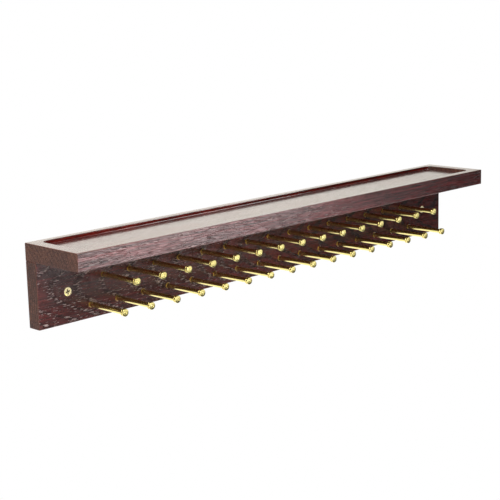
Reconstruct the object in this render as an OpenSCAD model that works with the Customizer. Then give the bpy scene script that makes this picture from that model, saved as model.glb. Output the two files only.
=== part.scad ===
// Wall tie rack: a back board that carries two staggered rows of turned brass
// pegs, under a shelf whose top is cut out as a shallow tray.
// X runs along the rack, +Y goes into the wall and +Z is up. The origin lies on
// the wall plane, midway between the two wall screws.

/* [Boards] */
// Length of the back board and of the shelf
rack_len = 600; // [596:1:640]
// Height of the back board, from its lower edge to the shelf
board_h = 62.5; // [58:0.5:70]
// Thickness of the back board
board_t = 15; // [14.5:0.5:18]
// Depth of the shelf, from the wall to its front face
shelf_d = 76.5; // [74:0.5:90]
// Thickness of the shelf
shelf_t = 17; // [15:0.5:22]
// Width of the small flat that eases each long edge
edge_ease = 0.6; // [0.2:0.1:1]

/* [Tray] */
// Width of the tray's rim at the two ends
end_rim_w = 12.5; // [10:0.5:16]
// Width of the tray's rim along the back
back_rim_w = 8; // [7:0.5:12]
// Width of the tray's rim along the front
front_rim_w = 10; // [8:0.5:14]
// Depth of the tray below the top of the shelf
tray_depth = 3.5; // [2:0.1:5]
// Radius of the tray's inside corners
tray_corner_r = 6; // [3:0.5:10]

/* [Pegs] */
// Number of pegs in the lower row; the upper row has one fewer
lower_count = 16; // [16:1:16]
// Distance between neighbouring pegs of a row
peg_pitch = 32; // [30:0.5:33]
// Height of the lower row above the lower edge of the back board
lower_row_z = 13; // [10:0.5:15]
// Height of the upper row above the lower edge of the back board
upper_row_z = 39; // [36:0.5:42]
// Reach of a peg in front of the back board
peg_reach = 50; // [46:0.5:54]
// Diameter of a peg's rod
rod_d = 4.8; // [4:0.1:5]
// Diameter of the disc at the end of a peg
disc_d = 7.2; // [6.6:0.1:8]
// Thickness of the disc at the end of a peg
disc_t = 1.8; // [1.5:0.1:2.2]
// Diameter of the collar behind the disc
collar_d = 6.8; // [6.2:0.1:7.6]
// Depth of a peg's blind hole in the back board
peg_hole_depth = 11.5; // [10:0.5:12]

/* [Wall screws] */
// Distance of each wall screw from its end of the rack
screw_inset = 34; // [30:0.5:38]
// Height of the wall screws above the lower edge of the back board
screw_z = 30; // [28:0.5:32]
// Length of a wall screw, from the top of its head to its point
screw_len = 45; // [38:1:50]
// Diameter of a screw's countersunk head
head_d = 8.4; // [8:0.1:8.8]
// Diameter over a screw's thread
thread_d = 4.2; // [4.1:0.1:4.4]
// Distance from one turn of the thread to the next
thread_pitch = 2.5; // [2:0.1:3]

/* [Dowels] */
// Number of hidden dowels between the shelf and the back board
dowel_count = 5; // [5:1:5]
// Diameter of a dowel
dowel_d = 6; // [5:0.5:6]
// Length of a dowel in the back board
dowel_in_board = 17; // [12:0.5:18]
// Length of a dowel in the shelf
dowel_in_shelf = 10; // [8:0.5:11]

/* [Hidden] */
$fn = 48;
upper_count = lower_count - 1;
board_bottom = -screw_z;
shelf_bottom = board_bottom + board_h;
shelf_top = shelf_bottom + shelf_t;
board_front = -board_t;
shelf_front = -shelf_d;
lower_z = board_bottom + lower_row_z;
upper_z = board_bottom + upper_row_z;
screw_x = rack_len / 2 - screw_inset;

// Radial slack between a round piece and the hole that it is glued into
glue_gap = 0.05;
// Air left behind the end of a round piece in its blind hole
end_gap = 0.5;
// How far a cutting shape runs past the face that it opens
over = 1;

// Widening of a peg's hole at the face of the back board
mouth_ease = 0.8;
// Chamfer on a dowel's ends and on a peg's hidden end
end_chamfer = 0.6;
// Peg head, measured back from the free end
disc_edge = 0.35;
groove_w = 1;
groove_d = 5.4;
collar_land = 0.9;
collar_slope = 1.8;

// Wall screw: the plain shank ends at the wall, where the thread starts
head_angle = 82;
head_rim = 0.3;
shank_d = 3.4;
shank_hole_d = 4.5;
head_slack = 0.05;
head_sunk = 0.15;
root_d = 2.9;
crest_w = 0.25;
tip_len = 5;
turns = floor((screw_len - board_t - tip_len) / thread_pitch);
recess_d = 4.6;
recess_depth = 2.2;
recess_tip_d = 1.2;
slot_w = 0.95;

function peg_x(count, i) = (i - (count + 1) / 2) * peg_pitch;
function dowel_x(i) = (i - (dowel_count + 1) / 2) * peg_pitch * 4;
function cone_h(d_from, d_to) = (d_from - d_to) / 2 / tan(head_angle / 2);
function two_digits(i) = i < 10 ? str("0", i) : str(i);

LOWER = [for (i = [1:lower_count]) str("lower_peg_", two_digits(i))];
UPPER = [for (i = [1:upper_count]) str("upper_peg_", two_digits(i))];
DOWELS = [for (i = [1:dowel_count]) str("dowel_pin_", i)];
SINGLES = ["shelf_tray", "back_board", "wall_screw_left", "wall_screw_right"];

// A board along X between two corners of its Y-Z section, its long edges eased
module eased_board(y0, z0, y1, z1) {
    e = edge_ease;
    section = [
        [y0 + e, z0], [y1 - e, z0], [y1, z0 + e], [y1, z1 - e],
        [y1 - e, z1], [y0 + e, z1], [y0, z1 - e], [y0, z0 + e]
    ];
    rotate([90, 0, 90])
        linear_extrude(rack_len, center = true)
            polygon(section);
}

// A slab with round corners, its lower face at z = 0
module rounded_slab(x0, y0, x1, y1, r, h) {
    translate([x0 + r, y0, 0]) cube([x1 - x0 - 2 * r, y1 - y0, h]);
    translate([x0, y0 + r, 0]) cube([x1 - x0, y1 - y0 - 2 * r, h]);
    for (x = [x0 + r, x1 - r], y = [y0 + r, y1 - r])
        translate([x, y, 0]) cylinder(r = r, h = h);
}

// Turns a shape that grows along +Z so that it grows along -Y, out of the board
module facing_front() {
    rotate([90, 0, 0]) children();
}

module dowel_hole(i) {
    r = dowel_d / 2 + glue_gap;
    low = dowel_in_board + end_gap;
    high = dowel_in_shelf + end_gap;
    translate([dowel_x(i), board_front / 2, shelf_bottom - low])
        cylinder(r = r, h = low + high);
}

module peg_hole(x, z) {
    r = rod_d / 2 + glue_gap;
    translate([x, board_front, z]) facing_front() {
        translate([0, 0, -peg_hole_depth]) cylinder(r = r, h = peg_hole_depth + over);
        translate([0, 0, -mouth_ease])
            cylinder(r1 = r, r2 = r + mouth_ease + over, h = mouth_ease + over);
    }
}

module screw_hole(x) {
    sink_d = head_d + 2 * head_slack;
    sink_h = cone_h(sink_d, shank_hole_d);
    rim = head_sunk + head_rim;
    translate([x, board_front, 0]) facing_front() {
        translate([0, 0, -board_t - over]) cylinder(d = shank_hole_d, h = board_t + 2 * over);
        translate([0, 0, -rim - sink_h]) cylinder(d1 = shank_hole_d, d2 = sink_d, h = sink_h);
        translate([0, 0, -rim]) cylinder(d = sink_d, h = rim + over);
    }
}

module shelf_tray() {
    half = rack_len / 2;
    color([0.34, 0.19, 0.19])
        difference() {
            eased_board(shelf_front, shelf_bottom, 0, shelf_top);
            translate([0, 0, shelf_top - tray_depth])
                rounded_slab(end_rim_w - half, shelf_front + front_rim_w, half - end_rim_w, -back_rim_w,
                             tray_corner_r, tray_depth + over);
            for (i = [1:dowel_count]) dowel_hole(i);
        }
}

module back_board() {
    color([0.26, 0.14, 0.14])
        difference() {
            eased_board(board_front, board_bottom, 0, shelf_bottom);
            for (i = [1:lower_count]) peg_hole(peg_x(lower_count, i), lower_z);
            for (i = [1:upper_count]) peg_hole(peg_x(upper_count, i), upper_z);
            for (x = [-screw_x, screw_x]) screw_hole(x);
            for (i = [1:dowel_count]) dowel_hole(i);
        }
}

module dowel_pin(i) {
    r = dowel_d / 2;
    low = shelf_bottom - dowel_in_board;
    high = shelf_bottom + dowel_in_shelf;
    c = end_chamfer;
    color([0.78, 0.62, 0.42])
        translate([dowel_x(i), board_front / 2, 0])
            rotate_extrude()
                polygon([[0, low], [r - c, low], [r, low + c], [r, high - c], [r - c, high], [0, high]]);
}

// One turned peg, its rod along +Z from the hidden end to the disc at peg_reach
module turned_peg() {
    rod = rod_d / 2;
    disc = disc_d / 2;
    collar = collar_d / 2;
    groove = groove_d / 2;
    tail = end_gap - peg_hole_depth;
    disc_back = peg_reach - disc_t;
    collar_front = disc_back - groove_w;
    collar_back = collar_front - collar_land;
    rotate_extrude()
        polygon([
            [0, tail], [rod - end_chamfer, tail], [rod, tail + end_chamfer],
            [rod, collar_back - collar_slope], [collar, collar_back],
            [collar, collar_front], [groove, collar_front], [groove, disc_back],
            [disc - disc_edge, disc_back], [disc, disc_back + disc_edge],
            [disc, peg_reach - disc_edge], [disc - disc_edge, peg_reach], [0, peg_reach]
        ]);
}

module peg(x, z) {
    color([0.80, 0.66, 0.28])
        translate([x, board_front, z]) facing_front() turned_peg();
}

// Outline of a wall screw, from the top of the head at z = 0 down to the point
function screw_outline() = concat(
    [[0, 0], [head_d / 2, 0], [head_d / 2, -head_rim]],
    [[shank_d / 2, -head_rim - cone_h(head_d, shank_d)]],
    [[shank_d / 2, head_sunk - board_t], [root_d / 2, head_sunk - board_t]],
    [for (k = [0:turns - 1], point = thread_turn(k)) point],
    [[root_d / 2, tip_len - screw_len], [0, -screw_len]]
);

// One turn of the thread: root, up to the crest, along it and back to the root
function thread_turn(k) = let (
    start = head_sunk - board_t - k * thread_pitch,
    mid = start - thread_pitch / 2,
    flank = (thread_d - root_d) / 2
) [
    [root_d / 2, mid + crest_w / 2 + flank / 2],
    [thread_d / 2, mid + crest_w / 2],
    [thread_d / 2, mid - crest_w / 2],
    [root_d / 2, mid - crest_w / 2 - flank / 2]
];

// A driver's cross, which narrows from recess_d at the top of the head to recess_tip_d
module cross_recess() {
    widening = (recess_d - recess_tip_d) / recess_depth;
    intersection() {
        translate([0, 0, -recess_depth])
            cylinder(d1 = recess_tip_d, d2 = recess_d + widening * over, h = recess_depth + over);
        for (a = [0, 90])
            rotate([0, 0, a])
                translate([-recess_d, -slot_w / 2, -recess_depth])
                    cube([2 * recess_d, slot_w, recess_depth + over]);
    }
}

module wall_screw(x, turn) {
    color([0.86, 0.74, 0.42])
        translate([x, board_front + head_sunk, 0]) facing_front() rotate([0, 0, turn])
            difference() {
                rotate_extrude() polygon(screw_outline());
                cross_recess();
            }
}

shelf_tray();
back_board();
wall_screw(-screw_x, 12);  // wall_screw_left
wall_screw(screw_x, 38);  // wall_screw_right
for (i = [1:dowel_count])
    dowel_pin(i);
for (i = [1:lower_count])
    peg(peg_x(lower_count, i), lower_z);
for (i = [1:upper_count])
    peg(peg_x(upper_count, i), upper_z);
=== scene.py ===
"""Wall tie rack: dark stained boards, turned brass pegs, two cross-head wall screws.

Everything is in metres in the rack's own frame: +X along the rack, +Y into the wall, +Z up,
with the origin on the wall plane midway between the two wall screws.
"""
import math

import bmesh
import bpy
from mathutils import Euler, Matrix, Vector


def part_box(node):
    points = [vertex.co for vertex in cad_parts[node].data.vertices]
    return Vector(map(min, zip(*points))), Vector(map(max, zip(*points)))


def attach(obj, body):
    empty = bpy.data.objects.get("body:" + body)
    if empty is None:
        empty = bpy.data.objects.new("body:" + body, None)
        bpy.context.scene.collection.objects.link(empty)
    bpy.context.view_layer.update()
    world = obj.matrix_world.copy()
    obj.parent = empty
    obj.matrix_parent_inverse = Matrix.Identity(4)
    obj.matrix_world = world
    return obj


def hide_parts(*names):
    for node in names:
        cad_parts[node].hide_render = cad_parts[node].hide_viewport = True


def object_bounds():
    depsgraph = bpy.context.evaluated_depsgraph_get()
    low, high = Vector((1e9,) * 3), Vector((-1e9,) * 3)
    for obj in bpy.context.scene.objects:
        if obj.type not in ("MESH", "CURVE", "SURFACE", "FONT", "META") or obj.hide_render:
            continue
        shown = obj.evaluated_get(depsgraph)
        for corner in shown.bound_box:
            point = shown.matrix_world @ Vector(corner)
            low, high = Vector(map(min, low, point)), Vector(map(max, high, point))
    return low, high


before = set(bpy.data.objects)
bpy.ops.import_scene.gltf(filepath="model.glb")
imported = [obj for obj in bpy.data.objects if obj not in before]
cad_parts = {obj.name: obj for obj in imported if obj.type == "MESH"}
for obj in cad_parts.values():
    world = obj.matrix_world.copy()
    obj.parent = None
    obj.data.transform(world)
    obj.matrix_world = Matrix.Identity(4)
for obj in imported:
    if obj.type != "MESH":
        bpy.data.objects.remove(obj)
CAD_LOW, CAD_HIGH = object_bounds()
MM = 0.001

TINY = 1e-9  # a ring of a turned shape that is smaller than this is one point
FACES_AXIS = 0.7  # a face whose normal has at least this much of an axis is taken to face along it
ARRIS = 0.7 * MM  # radius of the boards' eased edges
HEAD_RADIUS = 4.2 * MM  # of a wall screw
RECESS_DEPTH = 2.6 * MM  # of the driver's cross in it
HEAD_SLOPE = math.tan(math.radians(41))  # half of the 82 degrees of a countersunk screw head


# ---------------------------------------------------------------- camera

def make_camera():
    """The view from the left front, a little above the shelf. Angles are in degrees."""
    azimuth, elevation, roll = 45.061, 11.915, -1.427
    data = bpy.data.cameras.new("camera")
    data.sensor_width = 36.0
    data.lens = 92.15
    data.clip_start = 0.01
    camera = bpy.data.objects.new("camera", data)
    camera.location = (-0.9545, -0.9389, 0.2753)
    look = Euler((math.radians(90 - elevation), 0, math.radians(-azimuth)), "XYZ").to_matrix()
    spin = Matrix.Rotation(math.radians(roll), 3, "Z")
    camera.rotation_euler = (look @ spin).to_euler()
    bpy.context.scene.collection.objects.link(camera)
    bpy.context.scene.camera = camera


make_camera()


# ---------------------------------------------------------------- shader helpers

class Shader:
    """A material's node tree, with short calls for the nodes used here."""

    def __init__(self, name):
        self.material = bpy.data.materials.new(name)
        self.material.use_nodes = True
        self.tree = self.material.node_tree
        self.surface = self.tree.nodes["Principled BSDF"]
        self.point = self.add("ShaderNodeTexCoord").outputs["Object"]

    def add(self, kind, **settings):
        node = self.tree.nodes.new(kind)
        for key, value in settings.items():
            setattr(node, key, value)
        return node

    def feed(self, socket, value):
        if isinstance(value, bpy.types.NodeSocket):
            self.tree.links.new(value, socket)
        else:
            socket.default_value = value

    def math(self, operation, *values, clamp=False):
        node = self.add("ShaderNodeMath", operation=operation, use_clamp=clamp)
        for socket, value in zip(node.inputs, values):
            self.feed(socket, value)
        return node.outputs[0]

    def vector(self, operation, *values):
        node = self.add("ShaderNodeVectorMath", operation=operation)
        for socket, value in zip(node.inputs, values):
            self.feed(socket, value)
        return node.outputs["Value" if operation in ("LENGTH", "DOT_PRODUCT") else "Vector"]

    def split(self):
        """The X, Y and Z of the point."""
        node = self.add("ShaderNodeSeparateXYZ")
        self.feed(node.inputs[0], self.point)
        return node.outputs

    def noise(self, per_metre, detail=2.0, rough=0.5, point=None):
        """Noise with per_metre = (x, y, z) features in a metre along each axis."""
        node = self.add("ShaderNodeTexNoise")
        scaled = self.vector("MULTIPLY", point or self.point, per_metre)
        self.feed(node.inputs["Vector"], scaled)
        node.inputs["Scale"].default_value = 1.0
        node.inputs["Detail"].default_value = detail
        node.inputs["Roughness"].default_value = rough
        return node.outputs["Fac"]

    def patchy(self, noise, low, high, amount):
        """A noise that counts only from low up, and fully from high, times amount."""
        return self.math("MULTIPLY", self.ramp(noise, low, high), amount)

    def link(self, name, value):
        """Feeds one of the surface's sockets."""
        self.feed(self.surface.inputs[name], value)

    def constants(self, **values):
        """Sets the surface's own sockets. An underscore stands for a space in a socket's name."""
        for name, value in values.items():
            self.surface.inputs[name.replace("_", " ")].default_value = value

    def ramp(self, value, low, high, to_low=0.0, to_high=1.0, smooth=True):
        """value runs from low to high, and the result from to_low to to_high."""
        node = self.add("ShaderNodeMapRange")
        node.interpolation_type = "SMOOTHSTEP" if smooth else "LINEAR"
        for socket, x in zip(node.inputs, (value, low, high, to_low, to_high)):
            self.feed(socket, x)
        return node.outputs[0]

    def mix(self, amount, first, second):
        node = self.add("ShaderNodeMix", data_type="RGBA")
        for name, value in (("Factor", amount), ("A", first), ("B", second)):
            socket = next(s for s in node.inputs if s.name == name and s.enabled)
            self.feed(socket, value)
        return next(s for s in node.outputs if s.enabled)

    def bump(self, height, distance, strength=1.0, normal=None):
        node = self.add("ShaderNodeBump")
        node.inputs["Strength"].default_value = strength
        node.inputs["Distance"].default_value = distance
        self.feed(node.inputs["Height"], height)
        if normal is not None:
            self.feed(node.inputs["Normal"], normal)
        return node.outputs["Normal"]

    def edge_wear(self, low, high, width, ragged):
        """1 on the long edges of the box low-high, fading to 0 at width from them."""
        gaps = []
        for axis, lo, hi in zip(self.split(), low, high):
            half, middle = (hi - lo) / 2, (hi + lo) / 2
            off = self.math("ABSOLUTE", self.math("SUBTRACT", axis, middle))
            gaps.append(self.math("SUBTRACT", half, off))
        total = self.math("ADD", self.math("ADD", gaps[0], gaps[1]), gaps[2])
        least = self.math("MINIMUM", self.math("MINIMUM", gaps[0], gaps[1]), gaps[2])
        most = self.math("MAXIMUM", self.math("MAXIMUM", gaps[0], gaps[1]), gaps[2])
        second = self.math("SUBTRACT", self.math("SUBTRACT", total, least), most)
        frayed = self.math("ADD", second, self.math("MULTIPLY", ragged, width))
        return self.ramp(frayed, width, width * 0.25)


def rgb(*values):
    return (*values, 1.0)


# ---------------------------------------------------------------- materials

BARE_BROWN = (0.190, 0.075, 0.055)
# pale colour in the large pores: partly pore residue, partly a painted glint on the pore edges
PALE_RESIDUE_AND_GLINT = (0.66, 0.50, 0.48)
STAIN = ((0.040, 0.006, 0.005), (0.160, 0.022, 0.015))


def stained_wood(name, pith, ring, taper, warp, box, seed, haze, gloss, coat, satin=0.28,
                 relief=1.0, dash=60, rings=1.0, stain=STAIN, residue_and_glint_fade=(0.0, 0.1)):
    """Open-grained hardwood under a dark red stain and a lacquer that leaves the pores open.

    The growth rings lie round the line along X through pith = (y, z), ring apart. They widen by
    taper along X, which draws the arches of a flat-sawn face, and warp is how far they wander.
    Pores are long along X, so they are dashes on a face and dots on an end. box is the board's
    lowest and highest corner, and seed moves the noises.
    haze and gloss are the roughness and strength of the wood's own sheen. coat is how much
    lacquer lies over it and satin the lacquer's roughness. It has sunk away over the pores.
    relief scales how deep the grain is, and rings how plainly the growth rings show. dash is
    how many large pores end to end fill a metre. stain is its darkest and lightest colour. The
    last argument is where along X the pale flecks in the large pores start to fade, and where
    they are gone: the flecks are partly pore residue and partly a painted glint on the pore edges.
    """
    s = Shader(name)
    shifted = s.vector("ADD", s.point, (seed, seed * 0.37, seed * 0.61))
    x, y, z = s.split()

    # the growth rings: phase runs from 0 to 1 in each, and the early wood is its first part
    wander = s.noise((3.5, 18, 18), point=shifted)
    ripple = s.noise((30, 120, 120), detail=3.0, rough=0.6, point=shifted)
    across = s.math("SUBTRACT", y, pith[0])
    up = s.math("SUBTRACT", z, pith[1])
    squares = s.math("ADD", s.math("MULTIPLY", across, across), s.math("MULTIPLY", up, up))
    radius = s.math("ADD", s.math("SQRT", squares), s.math("MULTIPLY", x, taper))
    for bend, reach in ((wander, warp), (ripple, warp * 0.2)):
        off = s.math("MULTIPLY", s.math("SUBTRACT", bend, 0.5), reach)
        radius = s.math("ADD", radius, off)
    phase = s.math("FRACT", s.math("DIVIDE", radius, ring))
    early = s.math("MULTIPLY", s.ramp(phase, 0.0, 0.10), s.ramp(phase, 0.50, 0.15, 0.0, rings))

    # three sizes of pore, the largest crowded into the early wood
    large = s.noise((dash, 1900, 1900), detail=1.0, rough=0.6, point=shifted)
    large = s.ramp(s.math("SUBTRACT", large, s.ramp(early, 0.0, 1.0, 0.64, 0.51)), 0.0, 0.05)
    elsewhere = s.vector("ADD", shifted, (5, 3, 8))
    middling = s.noise((dash * 1.6, 1700, 1700), detail=1.0, point=elsewhere)
    middling = s.ramp(middling, 0.50, 0.62)
    small = s.ramp(s.noise((600, 3000, 3000), detail=1.0, point=shifted), 0.52, 0.68)

    # the stain's tone, and the pale flecks in some of the large pores: partly residue, partly a
    # painted glint on their edges
    blotch = s.noise((9, 30, 30), detail=3.0, rough=0.6, point=shifted)
    streak = s.noise((14, 700, 700), rough=0.6, point=shifted)
    tone = s.math("ADD", s.math("MULTIPLY", blotch, 0.35), s.math("MULTIPLY", streak, 0.65))
    elsewhere = s.vector("ADD", shifted, (7, 5, 3))
    residue_and_glint = s.ramp(s.noise((150, 800, 800), detail=1.0, point=elsewhere), 0.45, 0.53)
    # the pale flecks fade out along X: partly residue, partly a painted glint that fades along the
    # rack
    residue_and_glint = s.math("MULTIPLY", residue_and_glint, s.ramp(x, residue_and_glint_fade[0], residue_and_glint_fade[1], 1.0, 0.0))
    wear = s.edge_wear(*box, width=1.1 * MM, ragged=s.math("SUBTRACT", ripple, 0.4))

    colour = s.mix(s.ramp(tone, 0.36, 0.64), rgb(*stain[0]), rgb(*stain[1]))
    pore_fill_and_glint = s.mix(residue_and_glint, rgb(0.008, 0.003, 0.003), rgb(*PALE_RESIDUE_AND_GLINT))
    for where, amount, layer in (
            (early, 0.55, rgb(0.030, 0.007, 0.007)), (small, 0.45, rgb(0.016, 0.004, 0.004)),
            (middling, 0.60, rgb(0.010, 0.003, 0.003)), (large, 0.90, pore_fill_and_glint),
            (wear, 0.50, rgb(*BARE_BROWN))):
        colour = s.mix(s.math("MULTIPLY", where, amount), colour, layer)

    height = s.math("MULTIPLY", early, -0.2)
    for pores, depth in ((large, 1.0), (middling, 0.6), (small, 0.25)):
        height = s.math("SUBTRACT", height, s.math("MULTIPLY", pores, depth))
    orange_peel = s.noise((300, 300, 300), point=shifted)
    peel = s.bump(orange_peel, 0.03 * MM, strength=0.6)
    rough = s.ramp(blotch, 0.3, 0.7, haze, haze + 0.10)
    open_pores = min(1.0, 1.3 * relief)
    sunk = s.math("ADD", s.math("MULTIPLY", large, 0.75 * open_pores),
                  s.math("MULTIPLY", middling, 0.45 * open_pores), clamp=True)
    s.link("Base Color", colour)
    s.link("Roughness", s.math("ADD", rough, s.math("MULTIPLY", large, 0.2)))
    s.link("Normal", s.bump(height, 0.40 * MM * relief))
    s.link("Coat Weight", s.ramp(sunk, 0.0, 1.0, coat, coat * 0.05, smooth=False))
    s.link("Coat Normal", s.bump(height, 0.28 * MM * relief, normal=peel))
    s.constants(IOR=1.5, Specular_IOR_Level=gloss, Coat_Roughness=satin, Coat_IOR=1.5)
    return s.material


def brass(name, polished, tarnished, roughness, lines_per_metre):
    """Turned brass: fine tool marks round its axis along Y, darker in patches where handled.

    polished and tarnished are its two colours, and lines_per_metre counts the tool marks.
    """
    s = Shader(name)
    patches = s.noise((140, 90, 140), detail=3.0, rough=0.6)
    turning = s.noise((60, lines_per_metre, 60), detail=1.0)
    scratches = s.noise((2600, 180, 2600))
    dull = s.ramp(patches, 0.46, 0.74)
    rough = s.ramp(patches, 0.3, 0.8, roughness, roughness + 0.10)
    lines = s.bump(turning, 0.015 * MM)
    s.link("Base Color", s.mix(s.math("MULTIPLY", dull, 0.35), rgb(*polished), rgb(*tarnished)))
    s.link("Roughness", s.math("ADD", rough, s.patchy(scratches, 0.55, 0.75, 0.06)))
    s.link("Normal", s.bump(scratches, 0.003 * MM, normal=lines))
    s.constants(Metallic=1.0)
    return s.material


def plain_beech(name):
    """Unfinished beech with its short fleck, for the hidden dowels, which stand along Z."""
    s = Shader(name)
    grain = s.noise((900, 900, 60), detail=3.0)
    fleck = s.noise((2600, 2600, 500), detail=1.0)
    colour = s.mix(s.ramp(grain, 0.35, 0.65), rgb(0.56, 0.36, 0.19), rgb(0.68, 0.47, 0.27))
    s.link("Base Color", s.mix(s.patchy(fleck, 0.62, 0.7, 0.4), colour, rgb(0.40, 0.23, 0.11)))
    s.link("Roughness", s.ramp(grain, 0.3, 0.7, 0.62, 0.75))
    s.link("Normal", s.bump(grain, 0.05 * MM, strength=0.6))
    return s.material


# ---------------------------------------------------------------- mesh helpers

def to_object(name, bm, material, smooth_degrees=35):
    """A finished piece from a bmesh: faces turned outwards, edges over the angle kept sharp."""
    bmesh.ops.recalc_face_normals(bm, faces=bm.faces)
    mesh = bpy.data.meshes.new(name)
    bm.to_mesh(mesh)
    bm.free()
    for face in mesh.polygons:
        face.use_smooth = True
    mesh.set_sharp_from_angle(angle=math.radians(smooth_degrees))
    mesh.materials.append(material)
    piece = bpy.data.objects.new(name, mesh)
    bpy.context.scene.collection.objects.link(piece)
    return piece


def skin(bm, rings):
    """Joins each ring of vertices to the next one. A ring may also be a single vertex."""
    steps = max(len(ring) for ring in rings)
    for low, high in zip(rings, rings[1:]):
        for k in range(steps):
            corners = [low[k % len(low)], low[(k + 1) % len(low)],
                       high[(k + 1) % len(high)], high[k % len(high)]]
            bm.faces.new(list(dict.fromkeys(corners)))


def lathe(profile, origin, steps):
    """A bmesh turned round the line along -Y through origin. profile is (reach, radius) pairs."""
    bm = bmesh.new()
    rings = []
    for reach, radius in profile:
        ring = []
        for k in range(1 if radius < TINY else steps):
            a = math.tau * k / steps
            ring.append(bm.verts.new((origin[0] + radius * math.cos(a), origin[1] - reach,
                                      origin[2] + radius * math.sin(a))))
        rings.append(ring)
    skin(bm, rings)
    return bm


def arc(centre, radius, start, end, steps=4):
    """Points of a profile's round edge. Angles are in degrees, 0 along reach and 90 outwards."""
    points = []
    for k in range(steps + 1):
        a = math.radians(start + (end - start) * k / steps)
        points.append((centre[0] + radius * math.cos(a), centre[1] + radius * math.sin(a)))
    return points


def rounded_box(low, high, radius):
    """A board between two corners, with every arris eased to the same small radius."""
    bm = bmesh.new()
    bmesh.ops.create_cube(bm, size=1.0)
    size = [h - l for l, h in zip(low, high)]
    middle = [(h + l) / 2 for l, h in zip(low, high)]
    bmesh.ops.scale(bm, vec=size, verts=bm.verts)
    bmesh.ops.translate(bm, vec=middle, verts=bm.verts)
    bmesh.ops.bevel(bm, geom=bm.edges[:], offset=radius, segments=3, profile=0.5, affect="EDGES")
    return bm


def cut(piece, cutters, name):
    """Takes the cutters, one bmesh of closed shapes that don't touch, out of the piece."""
    bmesh.ops.recalc_face_normals(cutters, faces=cutters.faces)
    mesh = bpy.data.meshes.new(name)
    cutters.to_mesh(mesh)
    cutters.free()
    tool = bpy.data.objects.new(name, mesh)
    bpy.context.scene.collection.objects.link(tool)
    modifier = piece.modifiers.new(name, "BOOLEAN")
    modifier.operation = "DIFFERENCE"
    modifier.solver = "EXACT"
    modifier.object = tool
    bake_modifiers(piece)
    bpy.data.objects.remove(tool)
    bpy.data.meshes.remove(mesh)


def settle_normals(piece):
    """Flat faces stay flat up to their eased edges: the larger a face, the more it says."""
    modifier = piece.modifiers.new("weighted_normals", "WEIGHTED_NORMAL")
    modifier.keep_sharp = True
    bake_modifiers(piece)


def bake_modifiers(piece):
    """Replaces the piece's mesh by what its modifiers make of it."""
    graph = bpy.context.evaluated_depsgraph_get()
    made = bpy.data.meshes.new_from_object(piece.evaluated_get(graph))
    old, name = piece.data, piece.data.name
    piece.modifiers.clear()
    piece.data = made
    bpy.data.meshes.remove(old)
    made.name = name


def paint(piece, material, chosen):
    """Gives the faces that chosen picks, by centre and normal, another material."""
    index = len(piece.data.materials)
    piece.data.materials.append(material)
    for face in piece.data.polygons:
        if chosen(face.center, face.normal):
            face.material_index = index


def join(target, other):
    """Adds the faces of one bmesh to another and frees it."""
    scratch = bpy.data.meshes.new("scratch")
    other.to_mesh(scratch)
    other.free()
    target.from_mesh(scratch)
    bpy.data.meshes.remove(scratch)


# ---------------------------------------------------------------- the boards

def round_rectangle(low, high, radius, steps=8):
    """Corner points, anticlockwise, of a rectangle with round corners in X and Y."""
    points = []
    corners = ((high[0] - radius, high[1] - radius, 0), (low[0] + radius, high[1] - radius, 90),
               (low[0] + radius, low[1] + radius, 180), (high[0] - radius, low[1] + radius, 270))
    for cx, cy, start in corners:
        for k in range(steps + 1):
            a = math.radians(start + 90 * k / steps)
            points.append((cx + radius * math.cos(a), cy + radius * math.sin(a)))
    return points


def tray_cutter(shelf_low, shelf_high):
    """What the router takes out of the shelf's top: eased at the rim and filleted at the floor."""
    end_rim, back_rim, front_rim, depth, corner = 12.5 * MM, 8 * MM, 10 * MM, 3.5 * MM, 6 * MM
    ease, fillet, above, steps = 1.0 * MM, 0.8 * MM, 2 * MM, 5
    low = (shelf_low.x + end_rim, shelf_low.y + front_rim)
    high = (shelf_high.x - end_rim, shelf_high.y - back_rim)
    top, floor = shelf_high.z, shelf_high.z - depth
    # (how far the outline is drawn in, height) from the top of the cutter down to the tray's floor
    section = [(-ease, top + above), (-ease, top)]
    for k in range(1, steps + 1):
        a = math.radians(90 * k / steps)
        section.append((-ease + ease * math.sin(a), top - ease + ease * math.cos(a)))
    for k in range(steps + 1):
        a = math.radians(90 * k / steps)
        section.append((fillet - fillet * math.cos(a), floor + fillet - fillet * math.sin(a)))
    bm = bmesh.new()
    rings = []
    for inset, z in section:
        outline = round_rectangle((low[0] + inset, low[1] + inset),
                                  (high[0] - inset, high[1] - inset), corner - inset)
        rings.append([bm.verts.new((x, y, z)) for x, y in outline])
    skin(bm, rings)
    bm.faces.new(rings[0])
    bm.faces.new(rings[-1])
    return bm


def is_end(centre, normal, half_length):
    """Whether a face is on one of the board's two ends, where the end grain shows."""
    return abs(normal.x) > FACES_AXIS and abs(centre.x) > half_length - 2 * MM


def make_shelf(material, top_material, recess_material, end_material):
    """The shelf. Its top, the tray's walls and its ends have finishes of their own. The walls'
    deeper red is partly a painted reflection of the tray's floor.
    """
    low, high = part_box("shelf_tray")
    shelf = to_object("shelf", rounded_box(low, high, ARRIS), material)
    cut(shelf, tray_cutter(low, high), "tray_cutter")
    settle_normals(shelf)
    inside, above, below = 5 * MM, high.z - 3.3 * MM, high.z - 0.5 * MM

    def is_top(centre, normal):
        return normal.z > FACES_AXIS and centre.z > high.z - 5 * MM

    def is_wall(centre, normal):
        return (normal.z < FACES_AXIS and above < centre.z < below
                and low.x + inside < centre.x < high.x - inside
                and low.y + inside < centre.y < high.y - inside)

    paint(shelf, top_material, is_top)
    for wall_material, crosswise in ((recess_material, False), (end_material, True)):
        paint(shelf, wall_material, lambda centre, normal: (
            is_wall(centre, normal) and (abs(normal.x) > FACES_AXIS) == crosswise))
    paint(shelf, end_material, lambda centre, normal: is_end(centre, normal, high.x))
    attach(shelf, "root")
    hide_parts("shelf_tray")
    return shelf


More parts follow.
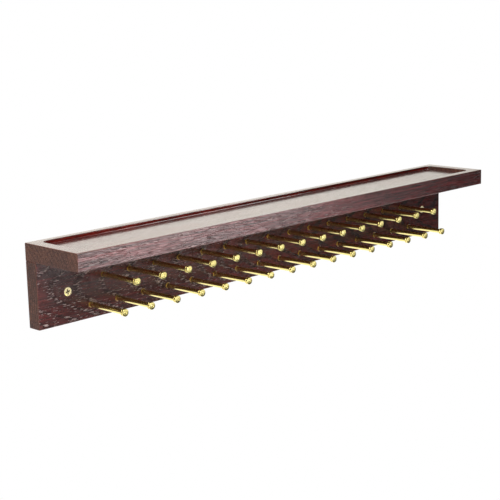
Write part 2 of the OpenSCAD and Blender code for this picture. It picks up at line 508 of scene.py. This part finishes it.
def make_back_board(material, mouth_highlight_material, end_material, pegs, screws):
    """The back board, with an eased mouth round every peg and a sink for every screw head.

    pegs and screws are the (x, z) places of each.
    """
    low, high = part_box("back_board")
    board = to_object("board", rounded_box(low, high, ARRIS), material)
    cutters = bmesh.new()
    front, above = low.y, 1 * MM
    hole, mouth, depth = 2.45 * MM, 3.15 * MM, 11.5 * MM
    ease = mouth - hole
    for x, z in pegs:
        profile = [(-depth, 0), (-depth, hole), (-ease, hole), (0, mouth),
                   (above, mouth + above), (above, 0)]
        join(cutters, lathe(profile, (x, front, z), steps=32))
    through, shank, sink, rim = 16 * MM, 2.25 * MM, 4.25 * MM, 0.45 * MM
    slope = (sink - shank) / HEAD_SLOPE
    for x, z in screws:
        profile = [(-through, 0), (-through, shank), (-rim - slope, shank), (-rim, sink),
                   (above, sink), (above, 0)]
        join(cutters, lathe(profile, (x, front, z), steps=48))
    cut(board, cutters, "board_cutters")
    settle_normals(board)

    def is_mouth(centre, normal):
        return (abs(normal.y) < 0.95 and 0.05 * MM < centre.y - front < 0.65 * MM
                and any(math.hypot(centre.x - x, centre.z - z) < 3.3 * MM for x, z in pegs))

    # the eased mouths round the pegs are painted pale: a painted highlight on the chamfers
    paint(board, mouth_highlight_material, is_mouth)
    paint(board, end_material, lambda centre, normal: is_end(centre, normal, high.x))
    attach(board, "root")
    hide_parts("back_board")
    return board


# ---------------------------------------------------------------- the pegs

def peg_profile(reach, rod, disc):
    """(reach, radius) along a peg, from its hidden end to the middle of its end disc."""
    tail, chamfer, collar, groove = -11 * MM, 0.6 * MM, 3.4 * MM, 2.65 * MM
    disc_back = reach - 1.8 * MM
    collar_front = disc_back - 1.0 * MM
    collar_back = collar_front - 0.9 * MM
    slope_back = collar_back - 1.8 * MM
    edge, lip = 0.38 * MM, 0.22 * MM
    ring_in, ring_out, ring_deep, dome = 1.05 * MM, 1.45 * MM, 0.10 * MM, 0.12 * MM
    face = reach - dome
    # the rod, swelling towards the collar
    profile = [(tail, 0), (tail, rod - chamfer), (tail + chamfer, rod), (-0.5 * MM, rod),
               (reach / 3, rod), (2 * reach / 3, rod), (slope_back, rod),
               (slope_back + 0.5 * MM, rod + 0.10 * MM), (slope_back + 1.1 * MM, rod + 0.42 * MM)]
    profile += arc((collar_back + lip, collar - lip), lip, 150, 90)
    profile += arc((collar_front - lip, collar - lip), lip, 90, 0)
    # the groove between the collar and the disc
    profile += [(collar_front + 0.05 * MM, groove + 0.2 * MM), (collar_front + 0.3 * MM, groove),
                (disc_back - 0.3 * MM, groove), (disc_back - 0.05 * MM, groove + 0.2 * MM)]
    profile += arc((disc_back + lip, disc - lip), lip, 180, 90)
    profile += arc((face - edge, disc - edge), edge, 90, 15)
    # the slightly domed face of the disc, with a fine turned ring
    profile += [(face + dome * 0.45, disc * 0.62), (face + dome * 0.6, ring_out),
                (face + dome * 0.6 - ring_deep, ring_out - 0.1 * MM),
                (face + dome * 0.6 - ring_deep, ring_in + 0.1 * MM),
                (face + dome * 0.7, ring_in), (reach, 0.4 * MM), (reach, 0)]
    return profile


def peg_places():
    """(node, x, z) of each peg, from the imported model."""
    places = []
    for node in sorted(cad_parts):
        if "_peg_" in node:
            low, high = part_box(node)
            places.append((node, (low.x + high.x) / 2, (low.z + high.z) / 2))
    return places


def make_pegs(material, places):
    front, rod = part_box("back_board")[0].y, 2.4 * MM
    pegs = []
    for node, x, z in places:
        low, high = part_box(node)
        profile = peg_profile(front - low.y, rod, (high.x - low.x) / 2)
        turned = lathe(profile, (x, front, z), steps=56)
        peg = to_object(node.replace("_peg_", "_turned_peg_"), turned, material, 40)
        settle_normals(peg)
        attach(peg, "root")
        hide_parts(node)
        pegs.append(peg)
    return pegs


# ---------------------------------------------------------------- the wall screws

def screw_surface(head_top, x, z, length):
    """The turned and threaded outside of a screw whose head's top is at y = head_top."""
    steps, ridge_half = 40, 0.28  # half of a thread ridge's foot, as a share of the pitch
    head, rim, eased, shank = HEAD_RADIUS, 0.3 * MM, 0.12 * MM, 1.7 * MM
    root, crest, pitch, tip = 1.45 * MM, 2.1 * MM, 2.5 * MM, 5 * MM
    thread_start, row = 15 * MM, 0.2 * MM
    slope = (head - shank) / HEAD_SLOPE
    # (depth below the head's top, radius, how far the thread stands out)
    sections = [(0, 0.0, 0.0), (0, head - eased, 0.0), (eased, head, 0.0), (rim, head, 0.0),
                (rim + slope, shank, 0.0), (thread_start - 0.6 * MM, shank, 0.0),
                (thread_start, root, 0.0)]
    along = thread_start + row
    while along < length - row:
        taper = min(1.0, (length - along) / tip)
        grown = min(1.0, (along - thread_start) / pitch)
        sections.append((along, root * taper, (crest - root) * min(taper * 1.4, 1.0) * grown))
        along += row
    sections.append((length, 0.0, 0.0))
    bm = bmesh.new()
    rings = []
    for depth, radius, thread in sections:
        ring = []
        for k in range(1 if radius < TINY else steps):
            turn = (depth / pitch + k / steps) % 1.0
            r = radius + thread * max(0.0, 1.0 - abs(turn - 0.5) / ridge_half)
            a = math.tau * k / steps
            y = head_top + depth
            ring.append(bm.verts.new((x + r * math.cos(a), y, z + r * math.sin(a))))
        rings.append(ring)
    skin(bm, rings)
    return bm


def cross_cutter(head_top, x, z, turn):
    """The tapered cross of a Phillips driver, from just above the head down to its point."""
    above, deep = 0.4 * MM, RECESS_DEPTH
    # (depth below the head's top, length of an arm, half its width)
    levels = [(-above, 2.85 * MM, 0.66 * MM), (0, 2.60 * MM, 0.62 * MM),
              (deep * 0.8, 1.0 * MM, 0.42 * MM)]
    bm = bmesh.new()
    rings = []
    for depth, arm, half in levels:
        ring = []
        for quarter in range(4):
            a = math.radians(turn + 90 * quarter)
            for u, v in ((half, -half), (arm, -half), (arm, half)):
                ring.append(bm.verts.new((x + u * math.cos(a) - v * math.sin(a),
                                          head_top + depth,
                                          z + u * math.sin(a) + v * math.cos(a))))
        rings.append(ring)
    rings.append([bm.verts.new((x, head_top + deep, z))])
    skin(bm, rings)
    bm.faces.new(rings[0])
    return bm


def make_screw(node, turn, material, recess_material):
    """One wall screw, its cross turned by so many degrees. Gives the screw and its (x, z)."""
    low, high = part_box(node)
    x, z = (low.x + high.x) / 2, (low.z + high.z) / 2
    bm = screw_surface(low.y, x, z, high.y - low.y)
    screw = to_object(node.replace("wall_screw", "driven_screw"), bm, material, 28)
    cut(screw, cross_cutter(low.y, x, z, turn), "cross_cutter")
    settle_normals(screw)

    def is_recess(centre, normal):
        """Whether a face lies below the head's top and well inside its cone."""
        depth = centre.y - low.y
        cone = HEAD_RADIUS - depth * HEAD_SLOPE
        return (0.05 * MM < depth < RECESS_DEPTH + 0.1 * MM
                and math.hypot(centre.x - x, centre.z - z) < 0.95 * cone)

    # the faces down in the cross take the dark recess brass: a painted shade in the recess
    paint(screw, recess_material, is_recess)
    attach(screw, "root")
    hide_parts(node)
    return screw, (x, z)


# ---------------------------------------------------------------- the dowels

def finish_dowels(material):
    """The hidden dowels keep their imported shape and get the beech."""
    for name in sorted(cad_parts):
        if name.startswith("dowel_pin_"):
            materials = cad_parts[name].data.materials
            materials.clear()
            materials.append(material)


# ---------------------------------------------------------------- the studio

def make_floor():
    """A plain white floor, well below the rack, which hangs on a wall in use.

    It is white to the camera, a little brighter than white in the brass, and matt otherwise.
    """
    s = Shader("floor_paint")
    s.constants(Base_Color=rgb(0.92, 0.92, 0.92), Roughness=0.9, Specular_IOR_Level=0.1,
                Emission_Color=rgb(1, 1, 1), Emission_Strength=0.30)
    white = s.add("ShaderNodeEmission")
    bright = s.add("ShaderNodeEmission")
    bright.inputs["Strength"].default_value = 1.3
    path = s.add("ShaderNodeLightPath")
    mirrored, choose = s.add("ShaderNodeMixShader"), s.add("ShaderNodeMixShader")
    for node, when, otherwise, then in ((mirrored, "Is Glossy Ray", s.surface, bright),
                                        (choose, "Is Camera Ray", mirrored, white)):
        s.feed(node.inputs[0], path.outputs[when])
        s.feed(node.inputs[1], otherwise.outputs[0])
        s.feed(node.inputs[2], then.outputs[0])
    s.feed(s.tree.nodes["Material Output"].inputs["Surface"], choose.outputs[0])
    mesh = bpy.data.meshes.new("floor")
    left, right, near, far, height = -2.0, 6.0, -0.25, 6.0, CAD_LOW.z - 0.36
    corners = [(left, near, height), (right, near, height), (right, far, height),
               (left, far, height)]
    mesh.from_pydata(corners, [], [(0, 1, 2, 3)])
    mesh.materials.append(s.material)
    floor = bpy.data.objects.new("floor", mesh)
    bpy.context.scene.collection.objects.link(floor)


def softbox(name, place, target, width, height, radiance, only=(), rays="both"):
    """A rectangular light that the camera doesn't see, as bright as a surface of that radiance.

    With only, it is flagged off everything but those pieces. rays is what it takes part in: the
    "gloss" alone, the "diffuse" light alone, or "both".
    """
    data = bpy.data.lights.new(name, "AREA")
    data.shape = "RECTANGLE"
    data.size = width
    data.size_y = height
    data.energy = radiance * math.pi * width * height
    light = bpy.data.objects.new(name, data)
    light.location = place
    light.rotation_euler = (Vector(target) - Vector(place)).to_track_quat("-Z", "Y").to_euler()
    light.visible_camera = False
    light.visible_diffuse = rays != "gloss"
    light.visible_glossy = rays != "diffuse"
    bpy.context.scene.collection.objects.link(light)
    if only:
        lit = bpy.data.collections.new(name + "_receivers")
        for piece in only:
            lit.objects.link(piece)
        light.light_linking.receiver_collection = lit


def make_world():
    """White to the camera. As a light it is bright behind the rack and dim in front of it."""
    world = bpy.data.worlds.new("studio")
    world.use_nodes = True
    bpy.context.scene.world = world
    tree = world.node_tree
    nodes, links = tree.nodes, tree.links
    nodes.clear()
    out = nodes.new("ShaderNodeOutputWorld")
    seen = nodes.new("ShaderNodeBackground")
    lit = nodes.new("ShaderNodeBackground")
    choose = nodes.new("ShaderNodeMixShader")
    path = nodes.new("ShaderNodeLightPath")
    where = nodes.new("ShaderNodeTexCoord")
    seen.inputs["Strength"].default_value = 1.0
    seen.inputs["Color"].default_value = rgb(1, 1, 1)
    lit.inputs["Color"].default_value = rgb(1.0, 0.96, 0.88)

    def add(first, second):
        node = nodes.new("ShaderNodeMath")
        links.new(first, node.inputs[0])
        links.new(second, node.inputs[1])
        return node.outputs[0]

    def glow(direction, edge, middle, radiance):
        """A soft patch of light: nothing where the cosine is edge, and radiance at middle."""
        dot = nodes.new("ShaderNodeVectorMath")
        dot.operation = "DOT_PRODUCT"
        dot.inputs[1].default_value = Vector(direction).normalized()
        links.new(where.outputs["Generated"], dot.inputs[0])
        ramp = nodes.new("ShaderNodeMapRange")
        ramp.interpolation_type = "SMOOTHSTEP"
        links.new(dot.outputs["Value"], ramp.inputs[0])
        for socket, value in zip(ramp.inputs[1:], (edge, middle, 0.0, radiance)):
            socket.default_value = value
        return ramp.outputs[0]

    behind = glow((0.45, 0.85, 0.22), 0.7, 0.99, 1.38)
    left = glow((-0.80, 0.35, 0.10), -0.1, 0.9, 0.48)
    above = glow((0.0, 0.0, 1.0), 0.4, 0.95, 0.5)
    dim = glow((0.0, -1.0, 0.0), -1.0, -0.99, 0.03)  # very nearly the same all round
    links.new(add(add(behind, left), add(above, dim)), lit.inputs["Strength"])
    links.new(path.outputs["Is Camera Ray"], choose.inputs[0])
    links.new(lit.outputs[0], choose.inputs[1])
    links.new(seen.outputs[0], choose.inputs[2])
    links.new(choose.outputs[0], out.inputs["Surface"])


# ---------------------------------------------------------------- build

# Each board's grain runs through it, so all the finishes of a board share it.
SHELF_GRAIN = dict(pith=(0.050, -0.020), ring=5.0 * MM, taper=0.012, warp=5 * MM,
                   box=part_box("shelf_tray"), seed=0.0)
BOARD_GRAIN = dict(pith=(0.080, 0.002), ring=3.0 * MM, taper=-0.10, warp=5 * MM,
                   box=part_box("back_board"), seed=3.7)
SHELF_STAIN = ((0.060, 0.008, 0.009), (0.215, 0.031, 0.033))
BOARD_STAIN = ((0.050, 0.007, 0.007), (0.190, 0.024, 0.021))
# deeper red of the tray's walls: partly stain, partly a painted reflection of the tray's red floor
RED_STAIN_AND_REFLECTION = ((0.090, 0.005, 0.002), (0.200, 0.011, 0.005))
BROWN_STAIN = ((0.070, 0.026, 0.018), (0.250, 0.105, 0.070))
# pale wood colour for the peg holes' mouths, standing for a painted highlight on the chamfers
PALE_MOUTH_HIGHLIGHT = ((0.80, 0.55, 0.44), (0.95, 0.75, 0.62))
NO_RESIDUE_AND_GLINT = (-0.5, -0.4)  # beyond the boards' left end, so that none of the pale flecks of residue and painted glint are left

# On shelf_wood and board_wood the pale flecks of residue and painted glint fade out along X.
shelf_wood = stained_wood("shelf_wood", **SHELF_GRAIN, haze=0.45, gloss=0.05, coat=1.0,
                          satin=0.26, relief=0.4, dash=38, rings=0.35, stain=SHELF_STAIN)
top_wood = stained_wood("top_wood", **SHELF_GRAIN, haze=0.36, gloss=0.15, coat=1.0,
                        satin=0.06, relief=0.05, rings=0.2, residue_and_glint_fade=NO_RESIDUE_AND_GLINT)
recess_wood = stained_wood("recess_wood", **SHELF_GRAIN, haze=0.5, gloss=0.05, coat=0.12,
                           satin=0.11, relief=0.3, rings=0.2, stain=RED_STAIN_AND_REFLECTION, residue_and_glint_fade=NO_RESIDUE_AND_GLINT)
shelf_end = stained_wood("shelf_end", **SHELF_GRAIN, haze=0.45, gloss=0.2, coat=0.12,
                         relief=0.5, rings=0.6, stain=BROWN_STAIN, residue_and_glint_fade=NO_RESIDUE_AND_GLINT)
board_wood = stained_wood("board_wood", **BOARD_GRAIN, haze=0.45, gloss=0.05, coat=0.34,
                          satin=0.20, relief=0.5, dash=240, stain=BOARD_STAIN, residue_and_glint_fade=(-0.25, 0.15))
board_end = stained_wood("board_end", **BOARD_GRAIN, haze=0.45, gloss=0.2, coat=0.12,
                         relief=0.5, stain=BROWN_STAIN, residue_and_glint_fade=NO_RESIDUE_AND_GLINT)
mouth_highlight_wood = stained_wood("mouth_highlight_wood", **BOARD_GRAIN, haze=0.34, gloss=0.4, coat=0.6,
                          relief=0.2, stain=PALE_MOUTH_HIGHLIGHT, residue_and_glint_fade=NO_RESIDUE_AND_GLINT)
peg_brass = brass("peg_brass", (0.88, 0.76, 0.30), (0.66, 0.54, 0.16), 0.18, 7000)
screw_plate = brass("screw_plate", (0.92, 0.82, 0.50), (0.70, 0.58, 0.28), 0.24, 4000)
# both colours dark, for the faces down in the driver's cross: painted shade in the recess
screw_recess_shade = brass("screw_recess_shade", (0.30, 0.25, 0.13), (0.10, 0.08, 0.04), 0.45, 4000)
dowel_beech = plain_beech("dowel_beech")

pegs = peg_places()
screws = [make_screw("wall_screw_left", 12, screw_plate, screw_recess_shade),
          make_screw("wall_screw_right", 38, screw_plate, screw_recess_shade)]
boards = [make_shelf(shelf_wood, top_wood, recess_wood, shelf_end),
          make_back_board(board_wood, mouth_highlight_wood, board_end,
                          [(x, z) for node, x, z in pegs], [place for screw, place in screws])]
metal = make_pegs(peg_brass, pegs) + [screw for screw, place in screws]
finish_dowels(dowel_beech)

# key and right_top light everything, and low_fill lifts the shadows under the shelf. The cards
# are what the lacquer and the brass mirror, and most are flagged off what they would wash out.
make_floor()
make_world()
softbox("key", (-0.50, -0.50, 0.50), (-0.15, -0.06, 0.03), 0.4, 0.4, 9.5)
softbox("near_card", (0.17, -0.50, -0.01), (0.17, 0, -0.01), 0.55, 0.22, 8.6,
        only=boards, rays="gloss")
softbox("peg_card", (0.22, -0.50, -0.060), (0.22, 0, -0.060), 0.60, 0.21, 1.30, only=metal)
softbox("peg_card_far", (0.76, -0.50, -0.055), (0.76, 0, -0.055), 0.48, 0.20, 1.1, only=metal)
softbox("front_card", (-0.58, -0.52, 0.0), (-0.58, 0, 0.0), 0.70, 0.40, 3.7, rays="gloss")
softbox("low_fill", (-0.06, -0.33, -0.22), (-0.04, 0.0, 0.0), 0.35, 0.2, 2.0, rays="diffuse")
softbox("edge_card", (0.47, -0.17, 0.65), (-0.15, -0.04, 0.05), 0.4, 0.3, 10.0,
        only=boards, rays="gloss")
softbox("right_top", (0.65, -0.60, 0.60), (0.0, -0.06, 0.04), 0.3, 0.3, 1.8)
bpy.context.scene.view_settings.view_transform = "Standard"
